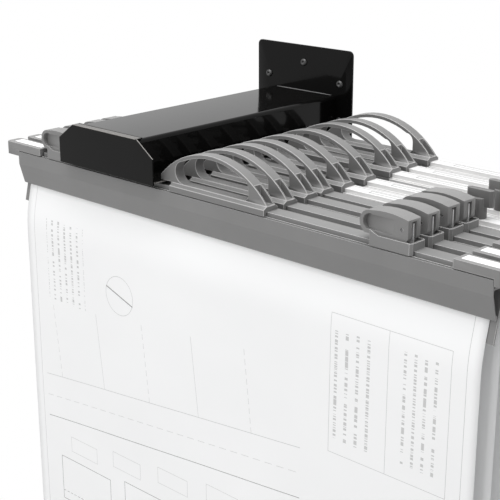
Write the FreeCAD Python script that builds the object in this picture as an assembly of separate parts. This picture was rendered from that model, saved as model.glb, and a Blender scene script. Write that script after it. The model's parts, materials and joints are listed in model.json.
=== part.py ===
import FreeCAD, Part
import math
import os

# Wall-mounted plan rack with nine hanging plan clamps, millimetres.
# X runs along the clamps, Y points into the wall, Z is up.  The origin lies on the wall,
# in the middle of the four outer wall screws.

V = FreeCAD.Vector

# --- pieces that repeat: their arcs are cut into a few straight facets ---
facet_depth = 0.15            # deepest that a facet cuts inside its arc
small_round_sides = 8         # flats on the small pins, studs and their bores
hub_sides = 16                # flats on the knobs' hubs
screw_head_sides = 12

# --- rack: wall plate, channel, front plate, screws ---
rack_width = 203.0            # wall plate and front plate, along X
rack_reach = 430.0            # wall to the front face of the front plate
deck_level = 10.0             # top of the channel above the origin
channel_width = 137.0         # outside the two side walls
channel_height = 55.5         # top of the deck to the underside of the flanges
channel_sheet = 2.5
channel_bend = 6.0            # outside radius of the deck's two bends
hook_flange = 35.0            # the handles hook over this flange
guide_flange = 18.0           # the rails' pads press up against this one
wall_plate_height = 145.0
wall_plate_thickness = 3.0
wall_plate_rise = 74.4        # above the deck
wall_plate_corner = 8.0
front_plate_height = 58.8     # below the top of the deck
front_plate_thickness = 2.5
front_chamfer_width = 33.0
front_chamfer_height = 21.5
front_return = 10.0           # the front plate's lip that lies on the deck
front_return_sheet = 2.0
screw_span_x = 153.0
screw_span_z = 60.0
top_screw_rise = 56.6         # middle screw above the origin
screw_radius = 3.0
screw_length = 25.0           # shank in the wall
screw_hole_play = 0.25
screw_head_radius = 6.2       # to the head's corners
screw_head_height = 3.2
screw_socket_radius = 2.3     # hexagon socket, to its corners
screw_socket_depth = 1.8

# --- clamp: lengths along X, sections in Y and Z from the front edge of the rail's top ---
clamp_length = 860.0
left_reach = 135.0            # clamp's left end to the edge of the guide flange
gap_shares = (8.0, 11.0, 3.0, 13.5, 18.5, 27.5, 9.5, 22.0)   # free spaces between the clamps
lever_clamps = 4              # the front clamps have cam levers, the others wing knobs
front_gap = 12.0              # front plate's front face to the first clamp
wall_gap = 32.0               # last clamp to the wall plate
hang_gap = 10.3               # flange underside above the rail's front edge
hook_overlap = 6.0            # handle tip over the flange
hook_play = 0.3               # above and below the flange, in the handle's notch
rail_depth = 30.0
rail_wall = 2.6
strip_front = 7.5             # front edge of the raised top strip
strip_rise = 6.0
strip_thickness = 3.0
rib_width = 1.6               # low rib between the two grooves behind the jaw
rib_rise = 0.8
groove_depth = 1.5
socket_wall = 0.9             # C-shaped socket that holds the jaw's bead
socket_neck = 3.6             # web between the strip and the socket
socket_mouth = 50.0           # degrees, half the socket's opening
knuckle_drop = 50.5           # where the rear web turns forward into the leg
knuckle_y = 14.4
leg_drop = 28.7               # below the knuckle
leg_lean = 6.7                # forward, over the leg's drop

# --- jaw ---
jaw_wall = 2.5
jaw_upright = 19.5            # vertical part of the front face
jaw_tip_drop = 50.6
jaw_tip_y = 8.6
jaw_tip_thickness = 3.7
bead_y = 6.0                  # the bead that the jaw rocks on
bead_drop = 6.0
bead_radius = 2.0
bead_clearance = 0.1
bead_neck = 1.8
arm_drop = 10.5               # top of the arm that the tie bolts pull
arm_thickness = 2.2
arm_reach = 23.0
arm_slot_width = 8.0
arm_slot_length = 12.0

# --- tie bolts, cam levers, latch bases, wing knobs ---
bolt_y = 16.0
lever_bolt_inset = 128.0      # right end of the clamp to the bolt under the lever
knob_bolt_inset = 132.0
bolt_width = 5.0              # square shank, and the round end that a knob turns on
bolt_foot_length = 11.0
bolt_foot_width = 10.0
bolt_foot_thickness = 3.0
bolt_foot_gap = 3.8           # free travel under the arm
bolt_hole_clearance = 0.3
thread_clearance = 0.1
link_thickness = 3.4          # flat upper end of the tie bolt, in the lever's fork
link_left = 4.0               # from the pivot
link_right = 5.0
link_top = 7.0                # above the pivot
latch_gap = 1.5               # left latch base to the guide flange
base_length = 61.0
base_past_bolt = 16.5
base_front = 1.0
base_rear = 30.0
base_height = 15.8
base_floor = 12.5
base_wall = 2.5
base_rear_wall = 1.6
base_corner = 3.0             # chamfers at its right end
cradle_length = 12.0          # the base's rim rises towards its left end
cradle_height = 21.4
lip_gap = 1.2                 # fittings' front lips clear the jaw's top edge
pivot_height = 29.0
pin_radius = 2.0
pin_clearance = 0.1
pin_inset = 0.5               # pin's ends below the lever's faces
lever_front = 4.0
lever_rear = 28.0
lever_nose = 62.0             # pivot to the rounded end
lever_heel = 9.0              # pivot to the fork's end
lever_heel_rise = 12.5
lever_shoulder = 45.0         # pivot to where the domed top meets the nose
lever_shoulder_rise = 15.0
lever_dome = 3.0              # rise of the domed top between its ends
lever_chin = 54.0             # pivot to where the nose meets the belly
lever_belly = 14.0            # below the pivot
lever_round = 5.5
fork_slot = 9.0
fork_slot_rise = 9.4
fork_slot_depth = 8.6
dish_depth = 3.0
dish_margin = 5.0
dish_right = 11.0             # pivot to the dish's square end
knob_radius = 9.0
knob_hub_top = 33.0
knob_gap = 0.3
stud_top = 24.0               # threaded end of the knobs' tie bolts
bore_end = 1.0                # knob's bore past it
wing_length = 38.0
wing_thickness = 9.0
wing_bottom = 22.3
wing_top = 44.0
wing_corner = 3.0             # chamfers at the wing's ends

# --- handle ---
handle_front = 7.0
handle_rear = 23.0
arch_half = 102.5             # outer arc, half its width at its feet
arch_centre = -15.0           # from the middle of the handle
arch_foot = 13.0
arch_top = 61.8
hook_reach = 111.0            # middle of the handle to the hook's tip
hook_nose = 2.0               # blunt end of the hook
notch_depth = 19.5
grip = 5.2                    # arch thickness over the hand hole
hole_left = 82.0              # from the middle of the handle
hole_right = 54.5
hole_bottom = 13.6
hole_round = 15.0             # rounded left end
hole_shoulder = 12.0          # rounded right end, along the arc and down
hole_corner = 5.0
handle_base_left = 88.5       # from the middle of the handle
handle_base_rear = 28.0
base_ridge = 13.0             # height of the base's sloping top where it meets the handle
base_edge = 9.5               # its height at the front and rear edges
hook_clear = 3.0              # flange's edge to the start of the sloping top
leg_pocket = 10.8             # width of the slots between the handle's two webs
leg_pocket_depth = 24.0
leg_pocket_top = 37.0

# --- end blocks, guide pad, sheets ---
block_length = 84.0
block_overhang = 30.0
block_front = 0.5
block_rear = 27.0
block_height = 12.5
block_drop = 7.5
block_corner = 3.0            # chamfers at its outer end
pad_inset = 3.0               # from the guide flange's edge
pad_length = 14.0
pad_clearance = 0.4
pad_front = 9.0
pad_rear = 27.0
sheet_width = 841.0
sheet_height = 594.0
sheet_bundle = 1.8            # thickness of a bundle of sheets
sheet_clearance = 0.25
sheet_tuck = 20.0             # held above the knuckle
sheet_bend = 190.0            # radius where the bundle falls back to vertical

# --- places that follow from the sizes above ---
channel_half = channel_width / 2
flange_underside = deck_level - channel_height
rail_level = flange_underside - hang_gap
hook_flange_edge = channel_half + hook_flange
guide_flange_edge = -channel_half - guide_flange
clamp_left = guide_flange_edge - left_reach
handle_middle = hook_flange_edge - hook_overlap + hook_reach - clamp_left
left_bolt = left_reach - latch_gap - base_past_bolt
lever_bolts = (left_bolt, clamp_length - lever_bolt_inset)
knob_bolts = (left_bolt, clamp_length - knob_bolt_inset)
bolt_seat = -arm_drop - arm_thickness - bolt_foot_gap
first_clamp_y = -rack_reach + front_gap
last_clamp_y = -wall_plate_thickness - wall_gap - rail_depth
free_space = last_clamp_y - first_clamp_y - rail_depth * len(gap_shares)


def clamp_places():
    """Y of each clamp's front face; the free space is dealt out by the gap shares."""
    places = [first_clamp_y]
    for share in gap_shares:
        places.append(places[-1] + rail_depth + free_space * share / sum(gap_shares))
    return places


def box(x0, x1, y0, y1, z0, z1):
    return Part.makeBox(x1 - x0, y1 - y0, z1 - z0, V(x0, y0, z0))


def faceted(arc, depth):
    """Points along an arc whose straight runs stay within a depth of it."""
    radius = arc.Curve.Radius
    step = 2 * math.acos(1 - depth / radius)
    return arc.discretize(math.ceil(arc.Length / radius / step) + 1)


def loop(points, arcs=(), depth=0):
    """Closed wire through 3-D points; arcs maps an edge's number to its middle point.
    With a depth the arcs are cut into facets."""
    arcs = dict(arcs)
    edges = []
    for i, a in enumerate(points):
        run = [a, points[(i + 1) % len(points)]]
        if i in arcs:
            arc = Part.Arc(run[0], arcs[i], run[1]).toShape()
            if not depth:
                edges.append(arc)
                continue
            run = faceted(arc, depth)
        for start, end in zip(run, run[1:]):
            edges.append(Part.LineSegment(start, end).toShape())
    return Part.Wire(edges)


def along_x(section, x0, x1, arcs=()):
    """Solid from a section of (y, z) points, drawn along X."""
    points = [V(x0, y, z) for y, z in section]
    middles = [(i, V(x0, y, z)) for i, (y, z) in arcs]
    return Part.Face(loop(points, middles)).extrude(V(x1 - x0, 0, 0))


def along_y(outline, y0, y1, arcs=(), depth=0):
    """Solid from an outline of (x, z) points, drawn along Y."""
    points = [V(x, y0, z) for x, z in outline]
    middles = [(i, V(x, y0, z)) for i, (x, z) in arcs]
    return Part.Face(loop(points, middles, depth)).extrude(V(0, y1 - y0, 0))


def edges_along(shape, direction):
    edges = []
    for e in shape.Edges:
        if isinstance(e.Curve, Part.Line):
            along = abs(e.tangentAt(e.FirstParameter).dot(direction))
            if abs(along - 1) < 1e-6:
                edges.append(e)
    return edges


def rounded(shape, radius, direction):
    """Fillet the straight edges that run along a direction."""
    return shape.makeFillet(radius, edges_along(shape, direction))


def many_sided(sides, radius, start, run):
    """Prism from a start point along a run; radius is to its corners."""
    turn = 2 * math.pi / sides
    side = V(0, 0, 1) if abs(run.z) < 0.5 * run.Length else V(1, 0, 0)
    other = run.cross(side).normalize()
    corners = []
    for i in range(sides):
        corners.append(start + side * (radius * math.cos(turn * i)) + other * (radius * math.sin(turn * i)))
    return Part.Face(loop(corners)).extrude(run)


def small_round(radius, start, run):
    """Slim bar with a few flats in place of a round one."""
    return many_sided(small_round_sides, radius, start, run)


def small_bore(radius, start, run):
    """Cutter for a slim bar's hole; radius is to the flats, so that the bar can turn in it."""
    return small_round(radius / math.cos(math.pi / small_round_sides), start, run)


def square_hole(x, z0, z1):
    reach = bolt_width / 2 + bolt_hole_clearance
    return box(x - reach, x + reach, bolt_y - reach, bolt_y + reach, z0, z1)


def bevelled(shape, size, direction):
    """Chamfer the straight edges that run along a direction."""
    return shape.makeChamfer(size, edges_along(shape, direction))


def under_lip(x0, x1, y1):
    """Cutter that seats a fitting on the rail's top strip and leaves its front lip over the grooves."""
    return box(x0 - 1, x1 + 1, strip_front - lip_gap, y1 + 1, 0, strip_rise)


# ---------- rack ----------

def screw_places():
    side = [(sx * screw_span_x / 2, sz * screw_span_z / 2) for sz in (1, -1) for sx in (-1, 1)]
    return side + [(0.0, top_screw_rise)]


def wall_plate():
    top = deck_level + wall_plate_rise
    low = top - wall_plate_height
    plate = box(-rack_width / 2, rack_width / 2, -wall_plate_thickness, 0, low, top)
    plate = rounded(plate, wall_plate_corner, V(0, 1, 0))
    for x, z in screw_places():
        start = V(x, -wall_plate_thickness, z)
        plate = plate.cut(small_bore(screw_radius + screw_hole_play, start, V(0, wall_plate_thickness, 0)))
    return plate


def wall_screws():
    """Hexagon-socket screws: head, neck through the plate, round shank in the wall."""
    screws = []
    for x, z in screw_places():
        seat = V(x, -wall_plate_thickness, z)
        crown = seat - V(0, screw_head_height, 0)
        head = many_sided(screw_head_sides, screw_head_radius, crown, V(0, screw_head_height, 0))
        socket = many_sided(6, screw_socket_radius, crown, V(0, screw_socket_depth, 0))
        neck = small_round(screw_radius, seat, V(0, wall_plate_thickness, 0))
        shank = Part.makeCylinder(screw_radius, screw_length, V(x, 0, z), V(0, 1, 0))
        screws.append(head.cut(socket).fuse([neck, shank]).removeSplitter())
    return Part.makeCompound(screws)


def channel():
    """One bent sheet: deck, two side walls and two flanges that turn outward."""
    front = -rack_reach + front_plate_thickness
    rear = -wall_plate_thickness
    out = channel_half
    inner = out - channel_sheet
    top = deck_level
    low = flange_underside
    bend = channel_bend
    inner_bend = bend - channel_sheet
    turn = math.sqrt(0.5)
    points = [
        (-out + bend, top), (out - bend, top),
        (out, top - bend), (out, low + channel_sheet),
        (out + hook_flange, low + channel_sheet), (out + hook_flange, low),
        (inner, low), (inner, top - bend),
        (inner - inner_bend, top - channel_sheet), (-inner + inner_bend, top - channel_sheet),
        (-inner, top - bend), (-inner, low),
        (-out - guide_flange, low), (-out - guide_flange, low + channel_sheet),
        (-out, low + channel_sheet), (-out, top - bend),
    ]
    arcs = [
        (1, (out - bend + bend * turn, top - bend + bend * turn)),
        (7, (inner - inner_bend + inner_bend * turn, top - bend + inner_bend * turn)),
        (9, (-inner + inner_bend - inner_bend * turn, top - bend + inner_bend * turn)),
        (15, (-out + bend - bend * turn, top - bend + bend * turn)),
    ]
    return along_y(points, front, rear, arcs)


def front_plate():
    """Chamfered end plate with a lip bent back over the deck."""
    w = rack_width / 2
    top = deck_level + front_return_sheet
    low = deck_level - front_plate_height
    front = -rack_reach
    points = [
        (-w, low), (w, low), (w, deck_level - front_chamfer_height), (w - front_chamfer_width, top),
        (-w + front_chamfer_width, top), (-w, deck_level - front_chamfer_height),
    ]
    plate = along_y(points, front, front + front_plate_thickness)
    lip_half = w - front_chamfer_width
    lip = box(-lip_half, lip_half, front, front + front_plate_thickness + front_return, deck_level, top)
    return plate.fuse(lip).removeSplitter()


# ---------- clamp pieces, in the clamp's own place: left end, front face, rail's front edge ----------

def leg_front():
    """Front face of the rear leg at its foot."""
    return knuckle_y - leg_lean, -knuckle_drop - leg_drop


def rail_bar(bolts):
    """Aluminium section: top strip, rib, C-socket for the jaw's bead, rear web and flared leg."""
    inner = bead_radius + bead_clearance
    outer = inner + socket_wall
    neck = socket_neck / 2
    mouth = math.radians(socket_mouth)
    lip_in = (inner * math.sin(mouth), -bead_drop - inner * math.cos(mouth))
    lip_out = (outer * math.sin(mouth), -bead_drop - outer * math.cos(mouth))
    shoulder = -bead_drop + outer
    flank_top = shoulder - (outer - neck)
    flank_end = -bead_drop - outer / 4
    under = strip_rise - strip_thickness
    web_in = rail_depth - rail_wall
    groove_floor = rib_rise - groove_depth
    foot_y, foot_z = leg_front()
    points = [
        (bead_y - neck, rib_rise), (bead_y - neck + rib_width, rib_rise),
        (bead_y - neck + rib_width, groove_floor), (strip_front, groove_floor),
        (strip_front, strip_rise), (rail_depth, strip_rise),
        (rail_depth, under), (knuckle_y + rail_wall, -knuckle_drop),
        (foot_y + rail_wall, foot_z - rail_wall / 4), (foot_y, foot_z),
        (knuckle_y, -knuckle_drop), (web_in, under),
        (bead_y + neck, under), (bead_y + neck, shoulder),
        (bead_y + outer, flank_top), (bead_y + outer, flank_end),
        (bead_y + lip_out[0], lip_out[1]), (bead_y + lip_in[0], lip_in[1]),
        (bead_y - lip_in[0], lip_in[1]), (bead_y - lip_out[0], lip_out[1]),
        (bead_y - outer, flank_end), (bead_y - outer, flank_top),
        (bead_y - neck, shoulder),
    ]
    bar = along_x(points, 0, clamp_length, [(17, (bead_y, -bead_drop + inner))])
    for x in bolts:
        bar = bar.cut(square_hole(x, under - 1, strip_rise + 1))
    return bar


def jaw(bolts):
    """Front jaw: outer wall, gripping tip, bead and the arm that the tie bolts pull."""
    slope = (jaw_tip_y - 0.3) / (jaw_tip_drop - jaw_upright)
    wall = jaw_wall * math.hypot(1, slope)
    tip_rear = jaw_tip_y + jaw_tip_thickness
    grip_top = jaw_tip_drop - 5.1
    inner_drop = jaw_tip_drop - 7.1
    points = [
        (0, 0), (0, -jaw_upright), (jaw_tip_y - 0.3, -jaw_tip_drop + 1.4),
        (jaw_tip_y + 0.6, -jaw_tip_drop), (tip_rear - 1.1, -jaw_tip_drop),
        (tip_rear, -jaw_tip_drop + 1.6), (tip_rear, -grip_top),
        (slope * (inner_drop - jaw_upright) + wall, -inner_drop),
        (jaw_wall, -jaw_upright + 0.5), (jaw_wall, 0),
    ]
    wall_bar = along_x(points, 0, clamp_length)
    arm_top = -arm_drop
    arm = box(0, clamp_length, jaw_wall / 2, arm_reach, arm_top - arm_thickness, arm_top)
    neck = box(0, clamp_length, bead_y - bead_neck / 2, bead_y + bead_neck / 2,
               arm_top - arm_thickness / 2, -bead_drop)
    for x in bolts:
        slot = box(
            x - arm_slot_length / 2, x + arm_slot_length / 2, bolt_y - arm_slot_width / 2,
            bolt_y + arm_slot_width / 2, arm_top - arm_thickness - 1, arm_top + 1,
        )
        arm = arm.cut(slot)
    bead = Part.makeCylinder(bead_radius, clamp_length, V(0, bead_y, -bead_drop), V(1, 0, 0))
    return wall_bar.fuse([arm, neck, bead]).removeSplitter()


def end_block(side):
    """Moulded end lug; side is -1 for the left end, 1 for the right."""
    inner = block_length - block_overhang
    block = box(-block_overhang, inner, block_front, block_rear, -block_drop, block_height)
    outer = [e for e in edges_along(block, V(0, 0, 1)) if e.BoundBox.XMax < 0]
    block = block.makeChamfer(block_corner, outer)
    over_jaw = box(0, inner + 1, 0, block_rear + 1, -block_drop - 1, lip_gap)
    block = block.cut([under_lip(1, inner, block_rear), over_jaw])
    if side > 0:
        block = block.mirror(V(0, 0, 0), V(1, 0, 0))
        block.translate(V(clamp_length, 0, 0))
    return block


def bolt_foot(x):
    """T-shaped foot that hangs under the jaw's arm."""
    return box(x - bolt_foot_length / 2, x + bolt_foot_length / 2, bolt_y - bolt_foot_width / 2,
               bolt_y + bolt_foot_width / 2, bolt_seat - bolt_foot_thickness, bolt_seat)


def square_bolt(x, top):
    """Tie bolt with a square shank and its foot below."""
    reach = bolt_width / 2
    shank = box(x - reach, x + reach, bolt_y - reach, bolt_y + reach, bolt_seat, top)
    return bolt_foot(x).fuse(shank)


def lever_bolt(x):
    """Tie bolt whose flat link and cross pin stand in the lever's fork."""
    link = box(x - link_left, x + link_right, bolt_y - link_thickness / 2, bolt_y + link_thickness / 2,
               base_floor, pivot_height + link_top)
    pin_front = lever_front + pin_inset
    pin = small_round(pin_radius, V(x, pin_front, pivot_height), V(0, lever_rear - pin_inset - pin_front, 0))
    return square_bolt(x, base_floor).fuse([link, pin]).removeSplitter()


def knob_bolt(x):
    """Tie bolt with a threaded end that stands up in the wing knob."""
    stud = small_round(bolt_width / 2, V(x, bolt_y, strip_rise), V(0, 0, stud_top - strip_rise))
    return square_bolt(x, strip_rise).fuse(stud).removeSplitter()


def latch_base(x):
    """Tray that the closed lever lies in, with a lip over the rail's grooves and a rising left end."""
    right = x + base_past_bolt
    left = right - base_length
    ramp = [
        (left, lip_gap), (right, lip_gap), (right, base_height), (left + cradle_length, base_height),
        (left, cradle_height),
    ]
    base = along_y(ramp, base_front, base_rear)
    corners = [e for e in edges_along(base, V(0, 0, 1)) if e.BoundBox.XMin > right - 1e-3]
    base = base.makeChamfer(base_corner, corners)
    tray = box(left - 1, right - base_wall, base_front + base_wall, base_rear - base_rear_wall,
               base_floor, cradle_height + 1)
    hole = square_hole(x, strip_rise - 1, base_floor + 1)
    return base.cut([under_lip(left, right, base_rear), tray, hole])


def lever_outline(margin):
    """Points and arcs of the lever's side, moved inward by a margin; the pivot stands at x = 0."""
    floor = pivot_height - lever_belly + margin
    shoulder = (margin / 2 - lever_shoulder, pivot_height + lever_shoulder_rise - margin)
    chin = (margin / 2 - lever_chin, floor)
    nose = (margin - lever_nose, pivot_height + (lever_shoulder_rise - lever_belly) / 2)
    return shoulder, chin, nose, floor


def lever():
    """Domed cam lever, forked around the tie bolt's link, with a dished front; the pivot stands at x = 0."""
    shoulder, chin, nose, floor = lever_outline(0)
    heel = lever_heel
    heel_top = pivot_height + lever_heel_rise
    points = [(heel - lever_round, floor), (heel, floor + lever_round), (heel, heel_top), shoulder, chin]
    turn = lever_round * math.sqrt(0.5)
    dome = ((heel + shoulder[0]) / 2, (heel_top + shoulder[1]) / 2 + lever_dome)
    arcs = [(0, (heel - lever_round + turn, floor + lever_round - turn)), (2, dome), (3, nose)]
    body = along_y(points, lever_front, lever_rear, arcs, facet_depth)
    slot = box(-fork_slot_depth, heel + 1, bolt_y - fork_slot / 2, bolt_y + fork_slot / 2,
               floor - 1, pivot_height + fork_slot_rise)
    bore = small_bore(pin_radius + pin_clearance, V(0, lever_front, pivot_height),
                      V(0, lever_rear - lever_front, 0))
    shoulder, chin, nose, low = lever_outline(dish_margin)
    dish = [(-dish_right, low), (-dish_right, shoulder[1]), shoulder, chin]
    dish_cut = along_y(dish, lever_front, lever_front + dish_depth, [(2, nose)], facet_depth)
    return body.cut([slot, bore, dish_cut])


def knob():
    """Wing knob: round hub, a flat wing moulded across its top and a bore for the tie bolt, at x = 0."""
    bottom = strip_rise + knob_gap
    hub = many_sided(hub_sides, knob_radius, V(0, bolt_y, bottom), V(0, 0, knob_hub_top - bottom))
    wing = box(-wing_length / 2, wing_length / 2, bolt_y - wing_thickness / 2, bolt_y + wing_thickness / 2,
               wing_bottom, wing_top)
    wing = bevelled(wing, wing_corner, V(0, 0, 1))
    bore = small_bore(bolt_width / 2 + thread_clearance, V(0, bolt_y, bottom),
                      V(0, 0, stud_top + bore_end - bottom))
    return hub.fuse(wing).removeSplitter().cut(bore)


def guide_pad():
    """Small block that runs under the rack's guide flange."""
    left = left_reach + pad_inset
    return box(left, left + pad_length, pad_front, pad_rear, strip_rise, hang_gap - pad_clearance)


def arch_arc(inset):
    """Radius and centre height of the arch's arc, moved inward by inset."""
    rise = arch_top - arch_foot
    radius = (arch_half ** 2 + rise ** 2) / (2 * rise)
    return radius - inset, arch_top - radius


def arch_point(x, inset):
    radius, centre_z = arch_arc(inset)
    return x, centre_z + math.sqrt(radius ** 2 - (x - handle_middle - arch_centre) ** 2)


def hand_hole():
    """Opening under the arch, round at its left end and at its right shoulder."""
    left = handle_middle - hole_left
    right = handle_middle + hole_right
    middle = handle_middle + arch_centre
    over = arch_point(right - hole_shoulder, grip)
    knee = (right, over[1] - hole_shoulder)
    turn = hole_shoulder * (1 - math.sqrt(0.5))
    outline = [
        (left + hole_round, hole_bottom), (right - hole_corner, hole_bottom),
        (right, hole_bottom + hole_corner), knee, over, arch_point(left + hole_round, grip),
    ]
    arcs = [
        (3, (right - turn, over[1] - turn)), (4, (middle, arch_top - grip)),
        (5, (left, hole_bottom + hole_round)),
    ]
    return along_y(outline, handle_front - 1, handle_rear + 1, arcs, facet_depth)


def handle_base():
    """Foot of the handle on the rail's strip; its top slopes up to the handle's sides."""
    left = handle_middle - handle_base_left
    right = handle_middle + arch_centre + arch_half
    under_hook = hang_gap - hook_play
    slope_left = handle_middle - hook_reach + hook_overlap + hook_clear
    foot = box(left, right, base_front, handle_base_rear, lip_gap, base_edge)
    gable = [
        (base_front, base_edge), (handle_base_rear, base_edge),
        (handle_rear, base_ridge), (handle_front, base_ridge),
    ]
    top = along_x(gable, max(left, slope_left), right)
    seat = box(left, right, handle_front, handle_rear, base_edge, under_hook)
    return foot.fuse([top, seat]).cut(under_lip(left, right, handle_base_rear))


def handle():
    """Arched grip whose left end is notched to hook over the rack's flange."""
    left_tip = handle_middle - hook_reach
    middle = handle_middle + arch_centre
    right_foot = middle + arch_half
    base_top = hang_gap - hook_play
    mouth_top = hang_gap + channel_sheet + hook_play
    notch_end = left_tip + notch_depth
    nose = arch_point(left_tip + hook_nose, 0)
    outline = [
        (left_tip, mouth_top), (left_tip, nose[1] - hook_nose), nose, arch_point(right_foot, 0),
        (right_foot, base_top), (notch_end, base_top), (notch_end, mouth_top),
    ]
    body = along_y(outline, handle_front, handle_rear, [(2, (middle, arch_top))], facet_depth)
    pocket_y = (handle_front + handle_rear - leg_pocket) / 2
    pocket = box(right_foot - leg_pocket_depth, right_foot + 20, pocket_y, pocket_y + leg_pocket,
                 base_ridge, leg_pocket_top)
    body = body.cut([hand_hole(), pocket])
    return body.fuse(handle_base()).removeSplitter()


def sheets():
    """Bundle of drawing sheets, held at the knuckle, bent by the leg and hanging straight."""
    foot_y, foot_z = leg_front()
    lean = math.atan2(leg_lean, leg_drop)
    web_lean = math.atan2(rail_depth - rail_wall - knuckle_y, knuckle_drop + strip_rise - strip_thickness)
    tuck = (knuckle_y + sheet_tuck * math.sin(web_lean), -knuckle_drop + sheet_tuck * math.cos(web_lean))
    bend = sheet_bend
    fall_y = foot_y - bend * (1 - math.cos(lean))
    fall_z = foot_z - bend * math.sin(lean)
    half_y = foot_y - bend * (math.cos(lean / 2) - math.cos(lean))
    half_z = foot_z - bend * (math.sin(lean) - math.sin(lean / 2))
    used = sheet_tuck + math.hypot(leg_lean, leg_drop) + bend * lean
    end_z = fall_z - (sheet_height - used)
    t = sheet_bundle
    s = sheet_clearance / 4
    rear = [
        (tuck[0] - s, tuck[1]), (knuckle_y - s, -knuckle_drop), (foot_y - s, foot_z),
        (fall_y - s, fall_z), (fall_y - s, end_z),
    ]
    front = [(y - t, z) for y, z in reversed(rear)]
    section = rear + front
    middles = [(2, (half_y - s, half_z)), (6, (half_y - s - t, half_z))]
    margin = (clamp_length - sheet_width) / 2
    return along_x(section, margin, margin + sheet_width, middles)


def rail_group(with_levers):
    """The rail with everything that is fixed to it, each piece a solid of its own."""
    bolts = lever_bolts if with_levers else knob_bolts
    pieces = [rail_bar(bolts), end_block(-1), end_block(1), guide_pad()]
    for x in bolts:
        if with_levers:
            pieces += [lever_bolt(x), latch_base(x)]
        else:
            pieces.append(knob_bolt(x))
    return Part.makeCompound(pieces)


def save(name, shape, place=None):
    shape = shape.copy()
    if place is not None:
        shape.translate(place)
    good = all(s.isValid() and s.Volume > 0 for s in shape.Solids)
    if not good:
        print("problem in", name)
    shape.exportStep("parts/" + name + ".step")
    print(f"{name}: {len(shape.Solids)} solids, {shape.Volume / 1000:.1f} cm3")


os.makedirs("parts", exist_ok=True)

save("wall_plate", wall_plate())
save("wall_screws", wall_screws())
save("channel", channel())
save("front_plate", front_plate())

lever_rail = rail_group(True)
knob_rail = rail_group(False)
lever_jaw = jaw(lever_bolts)
knob_jaw = jaw(knob_bolts)
handle_shape = handle()
sheet_shape = sheets()
lever_shape = lever()
knob_shape = knob()

for number, y in enumerate(clamp_places(), 1):
    place = V(clamp_left, y, rail_level)
    clamp = f"clamp_{number}_"
    levers = number <= lever_clamps
    save(clamp + "rail", lever_rail if levers else knob_rail, place)
    save(clamp + "jaw", lever_jaw if levers else knob_jaw, place)
    save(clamp + "handle", handle_shape, place)
    save(clamp + "sheets", sheet_shape, place)
    for side, x in zip(("left", "right"), lever_bolts if levers else knob_bolts):
        at_bolt = place + V(x, 0, 0)
        if levers:
            save(f"{clamp}{side}_lever", lever_shape, at_bolt)
        else:
            save(f"{clamp}{side}_knob", knob_shape, at_bolt)
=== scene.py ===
import json
import math
import bmesh
import bpy
import numpy as np
from mathutils import Matrix, Vector

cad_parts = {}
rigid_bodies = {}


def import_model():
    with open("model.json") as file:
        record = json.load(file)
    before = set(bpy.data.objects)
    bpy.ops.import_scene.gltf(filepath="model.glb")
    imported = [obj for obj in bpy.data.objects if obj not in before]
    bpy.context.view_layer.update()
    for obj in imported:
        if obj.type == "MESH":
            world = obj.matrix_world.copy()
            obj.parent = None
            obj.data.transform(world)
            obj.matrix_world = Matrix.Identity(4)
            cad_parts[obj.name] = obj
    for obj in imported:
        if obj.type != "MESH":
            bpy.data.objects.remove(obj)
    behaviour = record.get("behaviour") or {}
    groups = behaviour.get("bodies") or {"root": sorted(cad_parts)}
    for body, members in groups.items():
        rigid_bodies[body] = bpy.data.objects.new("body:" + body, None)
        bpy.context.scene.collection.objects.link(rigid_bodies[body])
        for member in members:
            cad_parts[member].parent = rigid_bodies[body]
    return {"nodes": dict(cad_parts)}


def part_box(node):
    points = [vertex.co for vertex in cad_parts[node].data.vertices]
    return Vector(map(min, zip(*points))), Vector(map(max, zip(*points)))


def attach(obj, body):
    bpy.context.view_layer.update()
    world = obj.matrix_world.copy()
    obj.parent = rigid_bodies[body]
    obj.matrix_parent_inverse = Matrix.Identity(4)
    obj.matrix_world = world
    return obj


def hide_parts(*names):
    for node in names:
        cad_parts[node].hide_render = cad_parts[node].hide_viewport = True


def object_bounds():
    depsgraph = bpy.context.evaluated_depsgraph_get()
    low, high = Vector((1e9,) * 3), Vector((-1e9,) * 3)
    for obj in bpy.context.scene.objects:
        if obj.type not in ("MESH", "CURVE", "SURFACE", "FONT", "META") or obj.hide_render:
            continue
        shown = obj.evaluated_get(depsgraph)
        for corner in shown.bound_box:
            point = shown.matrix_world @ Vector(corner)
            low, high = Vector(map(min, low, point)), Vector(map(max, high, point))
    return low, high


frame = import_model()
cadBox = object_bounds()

mm = 0.001
nodes = frame["nodes"]
clampCount = 9
leverClamps = 4  # the front ones; the others have wing knobs and clear aluminium
clampNumbers = range(1, clampCount + 1)
print("frame loaded,", len(nodes), "nodes")


# lowest and highest corner of a CAD node, in millimetres
def nodeBox(node):
    low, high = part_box(node)
    return np.array(low) / mm, np.array(high) / mm


# the clamp's own place in millimetres: its left end, its front face and the jaw's top edge
def clampOrigin(k):
    low, high = nodeBox(f"clamp_{k}_jaw")
    return np.array([low[0], low[1], high[2]])


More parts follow.
